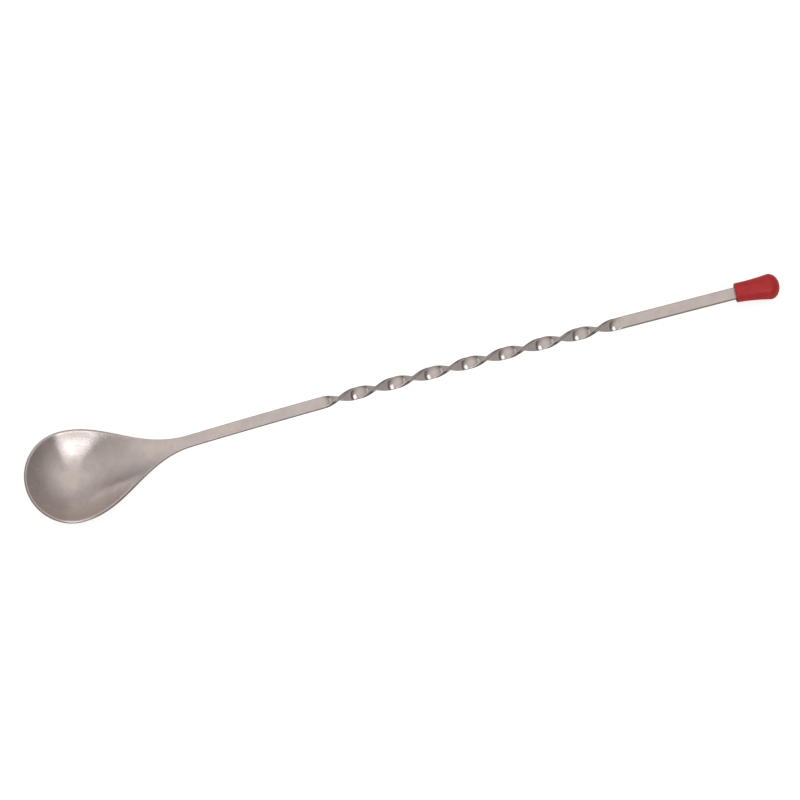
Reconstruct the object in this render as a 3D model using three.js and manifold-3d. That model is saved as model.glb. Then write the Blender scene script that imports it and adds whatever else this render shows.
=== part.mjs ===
// Bar spoon: one strip of stainless steel, stamped into a bowl at one end and twisted
// along its middle, with a soft red bulb cap pushed onto its plain end.
// Millimetres, +Z up. The spoon lies at rest with its bowl open upwards and its length on X.

import * as THREE from 'three';
import { mergeVertices } from 'three/addons/utils/BufferGeometryUtils.js';
import Module from 'manifold-3d';

const wasm = await Module();
wasm.setup();

// Whole spoon, from the nose of the bowl to the end of the cap
const LENGTH = 279.4;

// Flat strip
const STRIP_WIDTH = 4.35;
const STRIP_THICKNESS = 1.55;
const HALF_STRIP = STRIP_WIDTH / 2;

// Bowl: half its width and its reach to the nose, both at the middle of the sheet's rim, where its
// widest place is along the spoon, and how deep it is pressed
const BOWL_RADIUS = 17.2;
const NOSE_REACH = 16.4;
const BOWL_CENTRE = 16.7;
const BOWL_THICKNESS = 1.2;
const RIM_HEIGHT = 9.5;
const RIM_SLOPE = Math.tan(THREE.MathUtils.degToRad(1.25));
const FOOT_CUT = 0.2;
const BOWL_DEPTH = RIM_HEIGHT - BOWL_THICKNESS / 2 + FOOT_CUT;

// Shoulder: the outline from the widest place of the bowl to the end of the neck
const SHOULDER_PULL = 16.3;
const NECK_PULL = 18.2;
const NECK_END = 61;

// Spine: the height of the strip's middle along the spoon
const RISE_START = 29;
const RISE_END = 65;
const RISE_HEIGHT = 11.8;
const RISE_SLOPE = 0.04;
const ARCH_END = 250;
const END_PITCH = THREE.MathUtils.degToRad(3.6);

// Twist: left-handed, with a short run-in at each end
const TWIST_START = 109.4;
const TWIST_END = 221.6;
const TWIST_TURNS = 4;
const TWIST_RUN_IN = 2.4;

// Cap, measured along its own axis from its mouth
const CAP_LENGTH = 16.1;
const CAP_MOUTH_RADIUS = 3.5;
const CAP_LIP = 0.5;
const CAP_WAIST_AT = 6;
const CAP_WAIST_RADIUS = 3.55;
const CAP_BULB_AT = 12.4;
const CAP_BULB_RADIUS = 4.62;
const CAP_YAW = THREE.MathUtils.degToRad(4.2);
const CAP_SHIFT = 0.15;
const CAP_WALL_AT_END = 3;
const CAP_GAP = 0.3;
const CAP_MOUTH_AT = LENGTH - CAP_LENGTH * Math.cos(END_PITCH) * Math.cos(CAP_YAW);
const TANG_END = CAP_MOUTH_AT + CAP_LENGTH - CAP_WALL_AT_END - CAP_GAP;

// Steps of the forming grid
const NOSE_STEPS = 9;
const SHOULDER_STEPS = 14;
const STRIP_STEPS = 4;
const TWIST_STEPS = 68;
const ACROSS_STEPS = 12;
const CAP_SIDES = 32;
const CAP_CURVE_STEPS = 5;

const steel = new THREE.MeshStandardMaterial({ color: 0xbab1ae, roughness: 0.35, metalness: 1 });
const redVinyl = new THREE.MeshStandardMaterial({ color: 0xae2f34, roughness: 0.45, metalness: 0 });

// Height between two places with a given height and slope at each.
function easedHeight(along, from, to) {
  const span = to.at - from.at;
  const t = (along - from.at) / span;
  const fromShare = 2 * t ** 3 - 3 * t ** 2 + 1;
  const fromSlopeShare = t ** 3 - 2 * t ** 2 + t;
  const toSlopeShare = t ** 3 - t ** 2;
  const heights = fromShare * from.height + (1 - fromShare) * to.height;
  return heights + span * (fromSlopeShare * from.slope + toSlopeShare * to.slope);
}

// Height of the spine: level with the rim at the bowl, up the neck, over the arch and
// straight on into the cap, whose bulb then just touches the surface below.
function spineHeight(along) {
  const rimAt = (x) => RIM_HEIGHT + (x - BOWL_CENTRE) * RIM_SLOPE;
  const mouthHeight = CAP_BULB_RADIUS + CAP_BULB_AT * Math.sin(END_PITCH);
  const endSlope = -Math.tan(END_PITCH);
  const rimEnd = { at: RISE_START, height: rimAt(RISE_START), slope: RIM_SLOPE };
  const neckTop = { at: RISE_END, height: RISE_HEIGHT, slope: RISE_SLOPE };
  const archEndHeight = mouthHeight + (ARCH_END - CAP_MOUTH_AT) * endSlope;
  const archEnd = { at: ARCH_END, height: archEndHeight, slope: endSlope };
  if (along <= RISE_START) {
    return rimAt(along);
  }
  if (along <= RISE_END) {
    return easedHeight(along, rimEnd, neckTop);
  }
  if (along <= ARCH_END) {
    return easedHeight(along, neckTop, archEnd);
  }
  return mouthHeight + (along - CAP_MOUTH_AT) * endSlope;
}

// Share of the whole twist that is reached at a place along the spoon.
function twistShare(along) {
  const length = TWIST_END - TWIST_START;
  const steady = length - TWIST_RUN_IN;
  const done = THREE.MathUtils.clamp(along - TWIST_START, 0, length);
  const left = length - done;
  if (done < TWIST_RUN_IN) {
    return done ** 2 / (2 * TWIST_RUN_IN * steady);
  }
  if (left < TWIST_RUN_IN) {
    return 1 - left ** 2 / (2 * TWIST_RUN_IN * steady);
  }
  return (done - TWIST_RUN_IN / 2) / steady;
}

// Outline of one edge of the blank, as places along the spoon with the half width at each.
function blankOutline() {
  const noseHalfAngle = Math.asin(HALF_STRIP / BOWL_RADIUS);
  const nose = new THREE.EllipseCurve(
    BOWL_CENTRE, 0, NOSE_REACH, BOWL_RADIUS, Math.PI - noseHalfAngle, Math.PI / 2, true,
  );
  const shoulder = new THREE.CubicBezierCurve(
    new THREE.Vector2(BOWL_CENTRE, BOWL_RADIUS),
    new THREE.Vector2(BOWL_CENTRE + SHOULDER_PULL, BOWL_RADIUS),
    new THREE.Vector2(NECK_END - NECK_PULL, HALF_STRIP),
    new THREE.Vector2(NECK_END, HALF_STRIP),
  );
  const edge = (start, end) => new THREE.LineCurve(
    new THREE.Vector2(start, HALF_STRIP),
    new THREE.Vector2(end, HALF_STRIP),
  );
  return [
    ...nose.getPoints(NOSE_STEPS),
    ...shoulder.getPoints(SHOULDER_STEPS).slice(1),
    ...edge(NECK_END, TWIST_START).getPoints(STRIP_STEPS).slice(1),
    ...edge(TWIST_START, TWIST_END).getPoints(TWIST_STEPS).slice(1),
    ...edge(TWIST_END, TANG_END).getPoints(STRIP_STEPS).slice(1),
  ];
}

// How fully the sheet is pressed beside a place on the outline: all of it round the nose, then
// fading along the shoulder to nothing on the strip.
function pressedShare(edgePoint) {
  if (edgePoint.x < BOWL_CENTRE) {
    return 1;
  }
  const fade = (edgePoint.y ** 2 - HALF_STRIP ** 2) / (BOWL_RADIUS ** 2 - HALF_STRIP ** 2);
  return Math.max(fade, 0) * (BOWL_RADIUS / edgePoint.y) ** 2;
}

// Depth of the middle of the sheet under the rim.
function pressedDepth(edgePoint, sideways) {
  return BOWL_DEPTH * pressedShare(edgePoint) * (edgePoint.y ** 2 - sideways ** 2) / BOWL_RADIUS ** 2;
}

// Direction square to the pressed sheet, on its upper side.
function pressedNormal(outline, index, sideways) {
  const ahead = outline[Math.min(index + 1, outline.length - 1)];
  const behind = outline[Math.max(index - 1, 0)];
  const fall = pressedDepth(ahead, sideways) - pressedDepth(behind, sideways);
  const fallAlong = fall / (ahead.x - behind.x);
  const fallAcross = -2 * BOWL_DEPTH * pressedShare(outline[index]) * sideways / BOWL_RADIUS ** 2;
  return new THREE.Vector3(fallAlong, fallAcross, 1).normalize();
}

// One corner of the forming grid: across runs from -1 to 1 between the edges, and layer is -1 on
// the underside and 1 on the upper side.
function formedPoint(outline, index, across, layer) {
  const edgePoint = outline[index];
  const sideways = edgePoint.y * across;
  const thickness = THREE.MathUtils.lerp(STRIP_THICKNESS, BOWL_THICKNESS, pressedShare(edgePoint));
  const point = new THREE.Vector3(edgePoint.x, sideways, -pressedDepth(edgePoint, sideways));
  point.addScaledVector(pressedNormal(outline, index, sideways), layer * thickness / 2);
  const twist = -2 * Math.PI * TWIST_TURNS * twistShare(edgePoint.x);
  point.applyAxisAngle(new THREE.Vector3(1, 0, 0), twist);
  point.z += spineHeight(edgePoint.x);
  return point;
}

// Closed solid of a geometry, with its shared corners merged and its collapsed faces dropped.
function solidOf(geometry) {
  const bare = geometry.clone();
  bare.deleteAttribute('normal');
  bare.deleteAttribute('uv');
  const merged = mergeVertices(bare);
  const corners = Array.from(merged.index.array);
  const faces = [];
  for (let start = 0; start < corners.length; start += 3) {
    const face = corners.slice(start, start + 3);
    if (new Set(face).size === 3) {
      faces.push(...face);
    }
  }
  const vertProperties = new Float32Array(merged.attributes.position.array);
  const triVerts = new Uint32Array(faces);
  return new wasm.Manifold(new wasm.Mesh({ numProp: 3, vertProperties, triVerts }));
}

function geometryOf(solid) {
  const mesh = solid.getMesh();
  const geometry = new THREE.BufferGeometry();
  geometry.setAttribute('position', new THREE.BufferAttribute(mesh.vertProperties, 3));
  geometry.setIndex(new THREE.BufferAttribute(mesh.triVerts, 1));
  geometry.computeVertexNormals();
  return geometry;
}

// The steel spoon: a flat blank, pressed, twisted and arched, then ground flat under the bowl.
function spoonGeometry() {
  const outline = blankOutline();
  const steps = outline.length - 1;
  const blank = new THREE.BoxGeometry(steps, 2, 2, steps, ACROSS_STEPS, 1);
  const corners = blank.attributes.position;
  for (let corner = 0; corner < corners.count; corner += 1) {
    const index = Math.round(corners.getX(corner) + steps / 2);
    const formed = formedPoint(outline, index, corners.getY(corner), Math.sign(corners.getZ(corner)));
    corners.setXYZ(corner, formed.x, formed.y, formed.z);
  }
  const below = new THREE.BoxGeometry(2 * BOWL_RADIUS, 2 * BOWL_RADIUS, BOWL_THICKNESS);
  below.translate(BOWL_CENTRE, 0, -BOWL_THICKNESS / 2);
  return geometryOf(solidOf(blank).subtract(solidOf(below)));
}

// Half section of the cap: mouth, rounded lip, hollow flare and domed bulb.
function capProfile() {
  const section = new THREE.Path();
  section.moveTo(0, 0);
  section.lineTo(CAP_MOUTH_RADIUS - CAP_LIP, 0);
  section.quadraticCurveTo(CAP_MOUTH_RADIUS, 0, CAP_MOUTH_RADIUS, CAP_LIP);
  section.quadraticCurveTo(CAP_WAIST_RADIUS, CAP_WAIST_AT, CAP_BULB_RADIUS, CAP_BULB_AT);
  section.absellipse(
    0, CAP_BULB_AT, CAP_BULB_RADIUS, CAP_LENGTH - CAP_BULB_AT, 0, Math.PI / 2, false, 0,
  );
  return section.getPoints(CAP_CURVE_STEPS);
}

// The cap: turned body that sits a little skew, with a straight slot for the end of the strip.
function capGeometry() {
  const mouth = new THREE.Vector3(CAP_MOUTH_AT, 0, spineHeight(CAP_MOUTH_AT));
  const body = new THREE.LatheGeometry(capProfile(), CAP_SIDES);
  body.rotateZ(-Math.PI / 2);
  body.rotateZ(-CAP_YAW);
  body.rotateY(END_PITCH);
  body.translate(mouth.x, mouth.y + CAP_SHIFT, mouth.z);
  const slotDepth = CAP_LENGTH - CAP_WALL_AT_END;
  const slot = new THREE.BoxGeometry(
    2 * slotDepth, STRIP_WIDTH + 2 * CAP_GAP, STRIP_THICKNESS + 2 * CAP_GAP,
  );
  slot.rotateY(END_PITCH);
  slot.translate(mouth.x, mouth.y, mouth.z);
  return geometryOf(solidOf(body).subtract(solidOf(slot)));
}

const spoon = new THREE.Mesh(spoonGeometry(), steel);
spoon.name = 'spoon';
const endCap = new THREE.Mesh(capGeometry(), redVinyl);
endCap.name = 'end_cap';

const group = new THREE.Group();
group.add(spoon, endCap);
group.position.x = -LENGTH / 2;

export default group;
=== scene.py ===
import math

import bmesh
import bpy
from mathutils import Matrix, Vector


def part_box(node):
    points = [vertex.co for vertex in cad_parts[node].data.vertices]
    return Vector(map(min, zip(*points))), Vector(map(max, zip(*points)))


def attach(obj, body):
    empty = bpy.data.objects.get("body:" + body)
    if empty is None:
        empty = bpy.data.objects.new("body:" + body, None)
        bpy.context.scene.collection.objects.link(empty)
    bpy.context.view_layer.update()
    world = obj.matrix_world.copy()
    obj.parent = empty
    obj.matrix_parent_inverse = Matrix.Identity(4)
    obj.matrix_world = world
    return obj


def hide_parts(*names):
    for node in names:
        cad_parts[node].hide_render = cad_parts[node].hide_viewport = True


# A bar spoon: one strip of steel pressed into a bowl at one end and twisted along its middle,
# with a soft red bulb cap pushed on the other end. Metres, +Z up, the bowl at -X.

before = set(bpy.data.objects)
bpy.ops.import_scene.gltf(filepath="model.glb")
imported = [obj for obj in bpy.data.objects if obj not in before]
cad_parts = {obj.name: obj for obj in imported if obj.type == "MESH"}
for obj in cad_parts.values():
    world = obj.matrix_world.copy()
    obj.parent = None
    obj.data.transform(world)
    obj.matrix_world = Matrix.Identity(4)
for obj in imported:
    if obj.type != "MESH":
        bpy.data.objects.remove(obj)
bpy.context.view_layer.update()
spoon_lo, spoon_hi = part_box("spoon")

MM = 0.001
WELD = 0.001 * MM
NUDGE = 0.05 * MM

# The blank. Its places are measured along the spoon from NOSE_X, and the edge of the pressed
# nose leans out past it.
NOSE_LEAN = 0.009 * MM
NOSE_X = spoon_lo.x + NOSE_LEAN
LENGTH = 279.4 * MM
TANG_END = spoon_hi.x - NOSE_X
STRIP_WIDTH = 4.35 * MM
STRIP_THICKNESS = 1.55 * MM
HALF_STRIP = STRIP_WIDTH / 2
EDGE_ROUND = 0.32 * MM
SHARP_CORNER = math.radians(60)
NOSE_STEPS = 14
SHOULDER_STEPS = 40
STRIP_STEPS = 20
TWIST_STEPS = 160
TANG_STEPS = 20
HALF_ACROSS = 8
EDGE_SEGMENTS = 3
OUTLINE_HALVINGS = 30

# The bowl, at the middle of its sheet, and the middle of the buffing rings
BOWL_RADIUS = 17.34 * MM
NOSE_REACH = 16.42 * MM
BOWL_CENTRE = 16.7 * MM
BUFFED_FROM = 19.2 * MM
BOWL_THICKNESS = 1.2 * MM
RIM_HEIGHT = 9.5 * MM
RIM_SLOPE = math.tan(math.radians(1.25))
FOOT_CUT = 0.2 * MM
BOWL_DEPTH = RIM_HEIGHT - BOWL_THICKNESS / 2 + FOOT_CUT
SHOULDER_PULL = 16.3 * MM
NECK_PULL = 18.2 * MM
NECK_END = 61 * MM

# The spine of the handle
RISE_START = 29 * MM
RISE_END = 65 * MM
RISE_HEIGHT = 11.8 * MM
RISE_SLOPE = 0.04
ARCH_END = 250 * MM
END_PITCH = math.radians(3.6)
END_SLOPE = -math.tan(END_PITCH)

# The twist, left-handed
TWIST_START = 109.4 * MM
TWIST_END = 221.6 * MM
TWIST_TURNS = 4
TWIST_RUN_IN = 2.4 * MM

# The cap, along its own axis from its mouth
CAP_LENGTH = 16.1 * MM
CAP_MOUTH_RADIUS = 3.5 * MM
CAP_LIP = 0.5 * MM
CAP_WAIST_AT = 6 * MM
CAP_WAIST_RADIUS = 3.55 * MM
CAP_BULB_AT = 12.4 * MM
CAP_BULB_RADIUS = 4.62 * MM
CAP_YAW = math.radians(4.2)
CAP_SHIFT = 0.15 * MM
CAP_GAP = 0.3 * MM
CAP_WALL_AT_END = 3 * MM
CAP_MOUTH_AT = LENGTH - CAP_LENGTH * math.cos(END_PITCH) * math.cos(CAP_YAW)
CAP_SIDES = 48
LIP_STEPS = 4
FLARE_STEPS = 12
DOME_STEPS = 9
DOME_START = math.radians(3)
SLOT_SQUARENESS = 7
SLOT_LIP = 0.25 * MM


# ---------------------------------------------------------------- shared sums

def spread(start, end, steps):
    """Evenly spread values after start, up to and with end."""
    return [start + (end - start) * step / steps for step in range(1, steps + 1)]


def quadratic(a, b, c, t):
    return (1 - t)**2 * a + 2 * t * (1 - t) * b + t * t * c


def cubic(a, b, c, d, t):
    return (1 - t)**3 * a + 3 * t * (1 - t)**2 * b + 3 * t * t * (1 - t) * c + t**3 * d


def smooth_object(name, bm, levels):
    """Turns the mesh's faces outwards and makes it an object with its place in its mesh."""
    bmesh.ops.remove_doubles(bm, verts=bm.verts, dist=WELD)
    bmesh.ops.recalc_face_normals(bm, faces=bm.faces)
    for face in bm.faces:
        face.smooth = True
    mesh = bpy.data.meshes.new(name)
    bm.to_mesh(mesh)
    bm.free()
    made = bpy.data.objects.new(name, mesh)
    bpy.context.scene.collection.objects.link(made)
    smooth = made.modifiers.new("smooth", "SUBSURF")
    smooth.levels = levels
    smooth.render_levels = levels
    return made


# ---------------------------------------------------------------- the spoon's shape

def rim_height(along):
    return RIM_HEIGHT + (along - BOWL_CENTRE) * RIM_SLOPE


def straight_end_height(along):
    mouth_height = CAP_BULB_RADIUS + CAP_BULB_AT * math.sin(END_PITCH)
    return mouth_height + (along - CAP_MOUTH_AT) * END_SLOPE


def eased_height(along, start, end):
    """Height between two (place, height, slope) ends, meeting both slopes."""
    span = end[0] - start[0]
    t = (along - start[0]) / span
    share = 2 * t**3 - 3 * t**2 + 1
    bend = (t**3 - 2 * t**2 + t) * start[2] + (t**3 - t**2) * end[2]
    return share * start[1] + (1 - share) * end[1] + span * bend


def spine_height(along):
    """Level with the rim at the bowl, up the neck, over the arch and straight into the cap."""
    neck_top = (RISE_END, RISE_HEIGHT, RISE_SLOPE)
    if along <= RISE_START:
        return rim_height(along)
    if along <= RISE_END:
        return eased_height(along, (RISE_START, rim_height(RISE_START), RIM_SLOPE), neck_top)
    if along <= ARCH_END:
        return eased_height(along, neck_top, (ARCH_END, straight_end_height(ARCH_END), END_SLOPE))
    return straight_end_height(along)


def twist_angle(along):
    """Steady turn of the strip, eased in and out at its two ends."""
    length = TWIST_END - TWIST_START
    steady = length - TWIST_RUN_IN
    done = min(max(along - TWIST_START, 0), length)
    left = length - done
    if done < TWIST_RUN_IN:
        share = done**2 / (2 * TWIST_RUN_IN * steady)
    elif left < TWIST_RUN_IN:
        share = 1 - left**2 / (2 * TWIST_RUN_IN * steady)
    else:
        share = (done - TWIST_RUN_IN / 2) / steady
    return -2 * math.pi * TWIST_TURNS * share


def shoulder(t):
    """(place, half width) of the outline from the widest part of the bowl to the strip."""
    bowl_end, neck_end = BOWL_CENTRE + SHOULDER_PULL, NECK_END - NECK_PULL
    place = cubic(BOWL_CENTRE, bowl_end, neck_end, NECK_END, t)
    return place, cubic(BOWL_RADIUS, BOWL_RADIUS, HALF_STRIP, HALF_STRIP, t)


def half_width_squared(along):
    """Of the blank, squared, so that it stays true just past the nose."""
    if along < BOWL_CENTRE:
        return BOWL_RADIUS**2 * (1 - ((along - BOWL_CENTRE) / NOSE_REACH)**2)
    if along >= NECK_END:
        return HALF_STRIP**2
    low, high = 0, 1
    for _ in range(OUTLINE_HALVINGS):
        middle = (low + high) / 2
        if shoulder(middle)[0] < along:
            low = middle
        else:
            high = middle
    return shoulder(low)[1]**2


def pressed_share(along):
    """All of the bowl's depth round the nose, fading along the shoulder to none on the strip."""
    if along < BOWL_CENTRE:
        return 1
    squared = half_width_squared(along)
    fade = (squared - HALF_STRIP**2) / (BOWL_RADIUS**2 - HALF_STRIP**2)
    return max(fade, 0) * BOWL_RADIUS**2 / squared


def pressed_depth(along, sideways):
    reach = half_width_squared(along) - sideways**2
    return BOWL_DEPTH * pressed_share(along) * reach / BOWL_RADIUS**2


def pressed(flat):
    """A point of the flat blank (along, sideways, through the sheet) once the bowl is pressed."""
    along, sideways, through = flat
    if along >= NECK_END:
        return Vector(flat)
    before, after = pressed_depth(along - NUDGE, sideways), pressed_depth(along + NUDGE, sideways)
    fall_along = (after - before) / (2 * NUDGE)
    fall_across = -2 * BOWL_DEPTH * pressed_share(along) * sideways / BOWL_RADIUS**2
    square = Vector((fall_along, fall_across, 1)).normalized()
    return Vector((along, sideways, -pressed_depth(along, sideways))) + square * through


def formed(flat):
    """A point of the flat blank once it is pressed, twisted and arched, in its place."""
    point = Matrix.Rotation(twist_angle(flat.x), 3, "X") @ pressed(flat)
    height = max(point.z + spine_height(flat.x), 0)
    return Vector((point.x + NOSE_X, point.y, height))


def across_grain(flat):
    """Direction that crosses the buffing lines: out from their middle, in the bowl."""
    out = Vector((flat.x - BUFFED_FROM, flat.y, 0))
    in_bowl = out.length > 2 * NUDGE and flat.x < NECK_END
    step = out.normalized() if in_bowl else Vector((1, 0, 0))
    step *= NUDGE
    return (formed(flat + step) - formed(flat - step)).normalized()


def place_on_blank(row, across, rows):
    """Where a corner of the even grid lies on the blank: round the nose, then straight across."""
    if row < NOSE_STEPS:
        back = 1 - row / NOSE_STEPS
        along = BOWL_CENTRE - NOSE_REACH * back * math.sqrt(1 - across**2 / 2)
        return along, BOWL_RADIUS * across * math.sqrt(1 - back**2 / 2)
    place, half_width = rows[row - NOSE_STEPS]
    return place, half_width * across


def make_spoon():
    rows = [shoulder(t) for t in [0] + spread(0, 1, SHOULDER_STEPS)]
    places = spread(NECK_END, TWIST_START, STRIP_STEPS)
    places += spread(TWIST_START, TWIST_END, TWIST_STEPS)
    places += spread(TWIST_END, TANG_END, TANG_STEPS)
    rows += [(place, HALF_STRIP) for place in places]
    last_row = NOSE_STEPS + len(rows) - 1

    bm = bmesh.new()
    bmesh.ops.create_grid(bm, x_segments=last_row, y_segments=2 * HALF_ACROSS, size=1)
    for vert in bm.verts:
        row = round((vert.co.x + 1) / 2 * last_row)
        along, sideways = place_on_blank(row, vert.co.y, rows)
        vert.co = (along, sideways, -0.5)
    lifted = bmesh.ops.extrude_face_region(bm, geom=bm.faces[:])["geom"]
    top = [part for part in lifted if isinstance(part, bmesh.types.BMVert)]
    bmesh.ops.translate(bm, verts=top, vec=(0, 0, 1))
    for vert in bm.verts:
        share = pressed_share(vert.co.x)
        vert.co.z *= STRIP_THICKNESS + (BOWL_THICKNESS - STRIP_THICKNESS) * share
    bmesh.ops.recalc_face_normals(bm, faces=bm.faces)
    edges = [edge for edge in bm.edges if edge.calc_face_angle(0) > SHARP_CORNER]
    bmesh.ops.bevel(
        bm, geom=edges, offset=EDGE_ROUND, offset_type="OFFSET", segments=EDGE_SEGMENTS,
        profile=0.5, affect="EDGES", material=-1,
    )
    blank = bm.verts.layers.float_vector.new("blank")
    grain = bm.verts.layers.float_vector.new("across_grain")
    sheet = bm.verts.layers.float.new("through_sheet")
    for vert in bm.verts:
        flat = vert.co.copy()
        thickness = STRIP_THICKNESS + (BOWL_THICKNESS - STRIP_THICKNESS) * pressed_share(flat.x)
        vert[blank] = flat
        vert[grain] = across_grain(flat)
        vert[sheet] = flat.z / thickness + 0.5
        vert.co = formed(flat)
    return smooth_object("steel_spoon", bm, 1)


# ---------------------------------------------------------------- the cap's shape

def cap_section():
    """(place, radius) along the outside of the cap, from the edge of its mouth to its end."""
    lip_start, mouth = CAP_MOUTH_RADIUS - CAP_LIP, CAP_MOUTH_RADIUS
    line = [(0, lip_start)]
    for t in spread(0, 1, LIP_STEPS):
        line.append((quadratic(0, 0, CAP_LIP, t), quadratic(lip_start, mouth, mouth, t)))
    for t in spread(0, 1, FLARE_STEPS):
        place = quadratic(CAP_LIP, CAP_WAIST_AT, CAP_BULB_AT, t)
        line.append((place, quadratic(mouth, CAP_WAIST_RADIUS, CAP_BULB_RADIUS, t)))
    dome = CAP_LENGTH - CAP_BULB_AT
    for angle in [DOME_START] + spread(DOME_START, math.pi / 2, DOME_STEPS):
        line.append((CAP_BULB_AT + dome * math.sin(angle), CAP_BULB_RADIUS * math.cos(angle)))
    return line


def into_slot(bm, edges, mouth, depth):
    """Draws a loop of edges on to the outline of the slot, this deep, and returns its edges."""
    half_width, half_height = HALF_STRIP + CAP_GAP, STRIP_THICKNESS / 2 + CAP_GAP
    made = bmesh.ops.extrude_edge_only(bm, edges=edges)["geom"]
    for vert in made:
        if isinstance(vert, bmesh.types.BMVert):
            local = mouth.inverted() @ vert.co
            bearing = Vector((0, local.y, local.z)).normalized()
            wide, high = abs(bearing.y) / half_width, abs(bearing.z) / half_height
            reach = (wide**SLOT_SQUARENESS + high**SLOT_SQUARENESS)**(-1 / SLOT_SQUARENESS)
            vert.co = mouth @ (bearing * reach + Vector((depth, 0, 0)))
    return [edge for edge in made if isinstance(edge, bmesh.types.BMEdge)]


def make_cap():
    bm = bmesh.new()
    line = [bm.verts.new((place, radius, 0)) for place, radius in cap_section()]
    for one, other in zip(line, line[1:]):
        bm.edges.new((one, other))
    bmesh.ops.spin(
        bm, geom=bm.verts[:] + bm.edges[:], axis=(1, 0, 0), cent=(0, 0, 0),
        angle=2 * math.pi, steps=CAP_SIDES, use_merge=True,
    )
    bmesh.ops.remove_doubles(bm, verts=bm.verts, dist=WELD)
    at_mouth = Matrix.Translation((CAP_MOUTH_AT + NOSE_X, 0, spine_height(CAP_MOUTH_AT)))
    mouth = at_mouth @ Matrix.Rotation(END_PITCH, 4, "Y")
    aside = Matrix.Translation((0, CAP_SHIFT, 0)) @ at_mouth
    turned = aside @ Matrix.Rotation(END_PITCH, 4, "Y") @ Matrix.Rotation(-CAP_YAW, 4, "Z")
    bmesh.ops.transform(bm, matrix=turned, verts=bm.verts)
    edges = [edge for edge in bm.edges if edge.is_boundary]
    for depth in (0, SLOT_LIP, CAP_LENGTH / 2, CAP_LENGTH - CAP_WALL_AT_END):
        edges = into_slot(bm, edges, mouth, depth)
    bmesh.ops.edgeloop_fill(bm, edges=edges)
    return smooth_object("red_cap", bm, 2)


spoon = make_spoon()
cap = make_cap()
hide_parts("spoon")
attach(spoon, "spoon")
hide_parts("end_cap")
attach(cap, "cap")


# ---------------------------------------------------------------- materials

# A Mix node has several sockets of each name, so its two colours and its result go by number.
MIX_ONE, MIX_OTHER, MIX_RESULT = 6, 7, 2


class Finish:
    """A material and a short way to add its nodes."""

    def __init__(self, name, metallic, roughness):
        self.material = bpy.data.materials.new(name)
        self.material.use_nodes = True
        self.tree = self.material.node_tree
        self.shader = self.tree.nodes["Principled BSDF"]
        self.shader.inputs["Metallic"].default_value = metallic
        self.shader.inputs["Roughness"].default_value = roughness

    def feed(self, socket, value):
        if isinstance(value, bpy.types.NodeSocket):
            self.tree.links.new(value, socket)
        else:
            socket.default_value = value

    def node(self, kind, out, inputs=(), **settings):
        made = self.tree.nodes.new(kind)
        for key, value in settings.items():
            setattr(made, key, value)
        for key, value in dict(inputs).items():
            self.feed(made.inputs[key], value)
        return made.outputs[out]

    def sum(self, operation, a, b=0.0, c=0.0):
        return self.node("ShaderNodeMath", "Value", {0: a, 1: b, 2: c}, operation=operation)

    def noise(self, vector, scale, detail=2.0, roughness=0.5):
        inputs = {"Vector": vector, "Scale": scale, "Detail": detail, "Roughness": roughness}
        return self.node("ShaderNodeTexNoise", "Fac", inputs)

    def stretched(self, vector, scale, turn=0.0):
        inputs = {"Vector": vector, "Scale": scale, "Rotation": (0, 0, turn)}
        return self.node("ShaderNodeMapping", "Vector", inputs)

    def between(self, value, from_low, from_high, to_low, to_high):
        inputs = {
            "Value": value, "From Min": from_low, "From Max": from_high,
            "To Min": to_low, "To Max": to_high,
        }
        return self.node("ShaderNodeMapRange", "Result", inputs)

    def blend(self, share, one, other):
        made = self.tree.nodes.new("ShaderNodeMix")
        made.data_type = "RGBA"
        self.feed(made.inputs[0], share)
        self.feed(made.inputs[MIX_ONE], one)
        self.feed(made.inputs[MIX_OTHER], other)
        return made.outputs[MIX_RESULT]

    def bump(self, height, strength, distance, over=None):
        inputs = {"Height": height, "Strength": strength, "Distance": distance}
        if over:
            inputs["Normal"] = over
        return self.node("ShaderNodeBump", "Normal", inputs)

    def use(self, **sockets):
        for name, value in sockets.items():
            self.feed(self.shader.inputs[name.replace("_", " ")], value)
        return self.material


STEEL = (0.61, 0.545, 0.53, 1)
STEEL_WARM = (0.66, 0.585, 0.54, 1)
STEEL_DULL = (0.50, 0.445, 0.43, 1)
# Painted shade colour for the lower band of the cut edge of the sheet
STEEL_EDGE_SHADE = (0.27, 0.245, 0.24, 1)
BOWL_ROUGHNESS = 0.27
HANDLE_ROUGHNESS = 0.17
BUFFED_ANISOTROPY = 0.75

# How fine each pattern in the steel is: roughly how many of its marks lie in a metre. The
# scratches are long in one direction of the blank, turned a little.
RINGS_PER_METRE = 9000
CLOUDS_PER_METRE = 140
PATCHES_PER_METRE = 420
WAVES_PER_METRE = 170
ONE_WAY_SCRATCHES = (120, 2600, 200)
ONE_WAY_TURN = 0.5
OTHER_WAY_SCRATCHES = (2300, 150, 200)
OTHER_WAY_TURN = 0.35

# The lower band of the cut side of the sheet, rougher and darkened with painted shade: how far
# up it reaches, as a share of the thickness, and how far its colour goes to the painted shade
# colour
SHADED_CUT_IN_BOWL = 0.16
SHADED_CUT_ON_HANDLE = 0.8
EDGE_SHADE_DARKNESS = 0.88

# What the patterns do to the colour, the roughness and the height of the surface
CLOUD_RANGE = (0.35, 0.65)
PATCH_DULLING = 0.4
RING_DULLING = 0.25
ROUGHNESS_SPREAD = (-0.05, 0.07)
SCRATCH_ROUGHNESS = 0.08
SHEARED_ROUGHNESS = 0.15
WAVE_HEIGHT = 0.09 * MM
RING_HEIGHT = 0.012 * MM
RING_STRENGTH = 0.35
SCRATCH_DEPTH = -0.6


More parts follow.
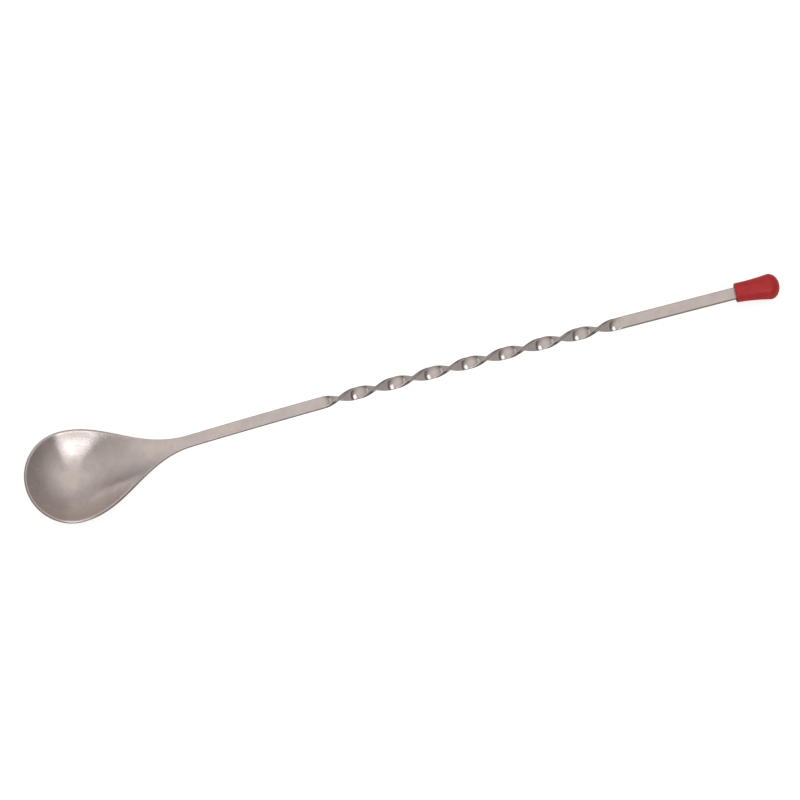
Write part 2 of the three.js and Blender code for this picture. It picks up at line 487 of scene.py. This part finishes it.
def buffed_steel():
    """Satin steel with fine buffing rings, cloudy polish, stray scratches and painted shade on
    its cut edges.
    """
    finish = Finish("buffed steel", 1.0, BOWL_ROUGHNESS)
    blank = finish.node("ShaderNodeAttribute", "Vector", attribute_name="blank")
    along = finish.node("ShaderNodeSeparateXYZ", "X", {"Vector": blank})
    on_handle = finish.between(along, BOWL_CENTRE, NECK_END, 0, 1)
    base_rough = finish.between(on_handle, 0, 1, BOWL_ROUGHNESS, HANDLE_ROUGHNESS)

    centring = {"Vector": blank, "Location": (-BUFFED_FROM, 0, 0)}
    centred = finish.node("ShaderNodeMapping", "Vector", centring)
    radius = finish.node("ShaderNodeVectorMath", "Value", {0: centred}, operation="LENGTH")
    bearing = finish.node("ShaderNodeVectorMath", "Vector", {0: centred}, operation="NORMALIZE")
    bearing_x = finish.node("ShaderNodeSeparateXYZ", "X", {"Vector": bearing})
    bearing_y = finish.node("ShaderNodeSeparateXYZ", "Y", {"Vector": bearing})
    ring = finish.sum("MULTIPLY", radius, RINGS_PER_METRE)
    ring_place = {"X": ring, "Y": bearing_x, "Z": bearing_y}
    rings = finish.noise(finish.node("ShaderNodeCombineXYZ", "Vector", ring_place), 1.0, 3.0, 0.6)

    clouds = finish.noise(blank, CLOUDS_PER_METRE, 3.0, 0.55)
    patches = finish.noise(blank, PATCHES_PER_METRE)
    waves = finish.noise(blank, WAVES_PER_METRE, 1.0)
    along_one = finish.stretched(blank, ONE_WAY_SCRATCHES, ONE_WAY_TURN)
    along_other = finish.stretched(blank, OTHER_WAY_SCRATCHES, OTHER_WAY_TURN)
    one_way = finish.between(finish.noise(along_one, 1.0, 1.0), 0.70, 0.74, 0, 1)
    other_way = finish.between(finish.noise(along_other, 1.0, 1.0), 0.71, 0.75, 0, 1)
    scratches = finish.sum("MAXIMUM", one_way, other_way)

    # Mask of the lower band of the cut edge: used to make it rougher and to darken it as painted
    # shade
    sheet = finish.node("ShaderNodeAttribute", "Fac", attribute_name="through_sheet")
    off_face = finish.between(sheet, 0.02, 0.12, 0, 1)
    shaded_cut_to = finish.between(on_handle, 0, 1, SHADED_CUT_IN_BOWL, SHADED_CUT_ON_HANDLE)
    below_top = finish.between(finish.sum("SUBTRACT", sheet, shaded_cut_to), 0, 0.1, 1, 0)
    shaded_cut = finish.sum("MULTIPLY", off_face, below_top)

    tone = finish.blend(finish.between(clouds, *CLOUD_RANGE, 0, 1), STEEL_WARM, STEEL)
    tone = finish.blend(finish.between(patches, 0.5, 0.8, 0, PATCH_DULLING), tone, STEEL_DULL)
    tone = finish.blend(finish.between(rings, 0.35, 0.7, 0, RING_DULLING), tone, STEEL_DULL)
    # Painted shade: the lower band of the cut edge is darkened towards a dark steel colour
    tone = finish.blend(finish.sum("MULTIPLY", shaded_cut, EDGE_SHADE_DARKNESS), tone, STEEL_EDGE_SHADE)
    rough = finish.sum("ADD", base_rough, finish.between(rings, 0.3, 0.7, *ROUGHNESS_SPREAD))
    rough = finish.sum("ADD", rough, finish.between(clouds, *CLOUD_RANGE, *ROUGHNESS_SPREAD))
    rough = finish.sum("MULTIPLY_ADD", scratches, SCRATCH_ROUGHNESS, rough)
    rough = finish.sum("MULTIPLY_ADD", shaded_cut, SHEARED_ROUGHNESS, rough)
    wavy = finish.bump(waves, 1.0, WAVE_HEIGHT)
    lines = finish.sum("MULTIPLY_ADD", scratches, SCRATCH_DEPTH, rings)
    grain = finish.bump(lines, RING_STRENGTH, RING_HEIGHT, wavy)
    across = finish.node("ShaderNodeAttribute", "Vector", attribute_name="across_grain")
    return finish.use(
        Base_Color=tone, Roughness=rough, Anisotropic=BUFFED_ANISOTROPY,
        Tangent=across, Normal=grain,
    )


CAP_RED = (0.60, 0.015, 0.019, 1)
CAP_RED_DEEP = (0.52, 0.010, 0.013, 1)
CAP_RED_RUBBED = (0.64, 0.030, 0.034, 1)
CAP_ROUGHNESS = 0.42
CAP_CLOUDS_PER_METRE = 300
PEBBLE_PER_METRE = 5200
FLOW_PER_METRE = (350, 1300, 1300)
RUBBED_SHARE = 0.5
SATIN_RANGE = (0.36, 0.5)
PEBBLE_SHARE = 0.4
SKIN_HEIGHT = 0.05 * MM
SKIN_STRENGTH = 0.3


def soft_red_plastic():
    """Dipped soft vinyl: a slightly uneven satin skin with finger wear and a fine pebble."""
    finish = Finish("soft red vinyl", 0.0, CAP_ROUGHNESS)
    place = finish.node("ShaderNodeTexCoord", "Object")
    clouds = finish.noise(place, CAP_CLOUDS_PER_METRE, 3.0)
    pebble = finish.noise(place, PEBBLE_PER_METRE)
    flow = finish.noise(finish.stretched(place, FLOW_PER_METRE), 1.0)
    tone = finish.blend(finish.between(clouds, *CLOUD_RANGE, 0, 1), CAP_RED_DEEP, CAP_RED)
    tone = finish.blend(finish.between(flow, 0.55, 0.75, 0, RUBBED_SHARE), tone, CAP_RED_RUBBED)
    rough = finish.between(clouds, 0.3, 0.7, *SATIN_RANGE)
    height = finish.sum("MULTIPLY_ADD", pebble, PEBBLE_SHARE, flow)
    skin = finish.bump(height, SKIN_STRENGTH, SKIN_HEIGHT)
    return finish.use(Base_Color=tone, Roughness=rough, Normal=skin)


FLOOR_CARD = (0.7, 0.7, 0.7, 1)
FLOOR_ROUGHNESS = 0.9
FLOOR_LIFT = 0.68
WHITE = (1, 1, 1, 1)


def plain_floor():
    """Matt white card, lifted where it is seen directly so that it stays clean and pale."""
    finish = Finish("pale floor", 0.0, FLOOR_ROUGHNESS)
    seen = finish.node("ShaderNodeLightPath", "Is Camera Ray")
    return finish.use(
        Base_Color=FLOOR_CARD, Emission_Color=WHITE,
        Emission_Strength=finish.sum("MULTIPLY", seen, FLOOR_LIFT),
    )


spoon.data.materials.append(buffed_steel())
cap.data.materials.append(soft_red_plastic())


# ---------------------------------------------------------------- floor, lights and camera

HALF_FLOOR = 2

bm = bmesh.new()
bmesh.ops.create_grid(bm, x_segments=1, y_segments=1, size=HALF_FLOOR)
floor_mesh = bpy.data.meshes.new("floor")
bm.to_mesh(floor_mesh)
bm.free()
floor = bpy.data.objects.new("floor", floor_mesh)
bpy.context.scene.collection.objects.link(floor)
floor.data.materials.append(plain_floor())

COOL = (0.95, 0.98, 1.0)
WARM = (1.0, 0.97, 0.955)

# The room round the spoon is dim to a little above the horizon and brightens to overhead.
BRIGHT_SIDE = (0.01, 0.05, 0.96)
DIM_UP_TO = 0.2
BRIGHT_FROM = 0.9
HORIZON_LIGHT = 0.175
OVERHEAD_LIGHT = 0.86

world = bpy.data.worlds.new("studio")
bpy.context.scene.world = world
world.use_nodes = True
sky = world.node_tree
facing = sky.nodes.new("ShaderNodeTexCoord")
height = sky.nodes.new("ShaderNodeVectorMath")
height.operation = "DOT_PRODUCT"
height.inputs[1].default_value = BRIGHT_SIDE
rise = sky.nodes.new("ShaderNodeMapRange")
rise.inputs["From Min"].default_value = DIM_UP_TO
rise.inputs["From Max"].default_value = BRIGHT_FROM
rise.inputs["To Min"].default_value = HORIZON_LIGHT
rise.inputs["To Max"].default_value = OVERHEAD_LIGHT
sky.links.new(facing.outputs["Generated"], height.inputs[0])
sky.links.new(height.outputs["Value"], rise.inputs["Value"])
sky.links.new(rise.outputs["Result"], sky.nodes["Background"].inputs["Strength"])
sky.nodes["Background"].inputs["Color"].default_value = (*WARM, 1)


SOFTBOX_DISTANCE = 1.2
SOFTBOX_TARGET = Vector((-0.1, 0, 0))


def softbox(name, toward, size, brightness, color):
    """A soft rectangular light aimed at the bowl from a direction, as bright as is given."""
    light = bpy.data.lights.new(name, "AREA")
    light.shape = "RECTANGLE"
    light.size, light.size_y = size
    light.energy = brightness * math.pi * size[0] * size[1]
    light.color = color
    lamp = bpy.data.objects.new(name, light)
    bpy.context.scene.collection.objects.link(lamp)
    direction = Vector(toward).normalized()
    lamp.location = direction * SOFTBOX_DISTANCE + SOFTBOX_TARGET
    lamp.rotation_euler = direction.to_track_quat("Z", "Y").to_euler()


softbox(
    "front softbox", toward=(-0.2, -0.765, 0.58), size=(0.78, 0.54), brightness=1.95, color=COOL,
)
softbox(
    "back softbox", toward=(-0.1, 0.96, 0.22), size=(1.1, 0.4), brightness=0.6, color=WARM,
)

# The camera stands far off behind a long lens, so that both ends look the same size.
CAMERA_AZIMUTH = math.radians(-16.7)
CAMERA_ELEVATION = math.radians(70)
CAMERA_DISTANCE = 10
SENSOR_WIDTH = 36
LENS_PER_METRE = 126.45
FAR_CLIP = 100
AIM_LEFT = 0.96 * MM
AIM_DOWN = 2.76 * MM
sin_a, cos_a = math.sin(CAMERA_AZIMUTH), math.cos(CAMERA_AZIMUTH)
sin_e, cos_e = math.sin(CAMERA_ELEVATION), math.cos(CAMERA_ELEVATION)
back = Vector((sin_a * cos_e, -cos_a * cos_e, sin_e))
right = Vector((cos_a, sin_a, 0))
up = back.cross(right)
camera = bpy.data.objects.new("camera", bpy.data.cameras.new("camera"))
bpy.context.scene.collection.objects.link(camera)
camera.data.sensor_width = SENSOR_WIDTH
camera.data.lens = LENS_PER_METRE * CAMERA_DISTANCE
camera.data.clip_end = FAR_CLIP
camera.location = back * CAMERA_DISTANCE - right * AIM_LEFT - up * AIM_DOWN
camera.rotation_euler = Matrix((right, up, back)).transposed().to_euler()
bpy.context.scene.camera = camera
bpy.context.scene.view_settings.view_transform = "Standard"
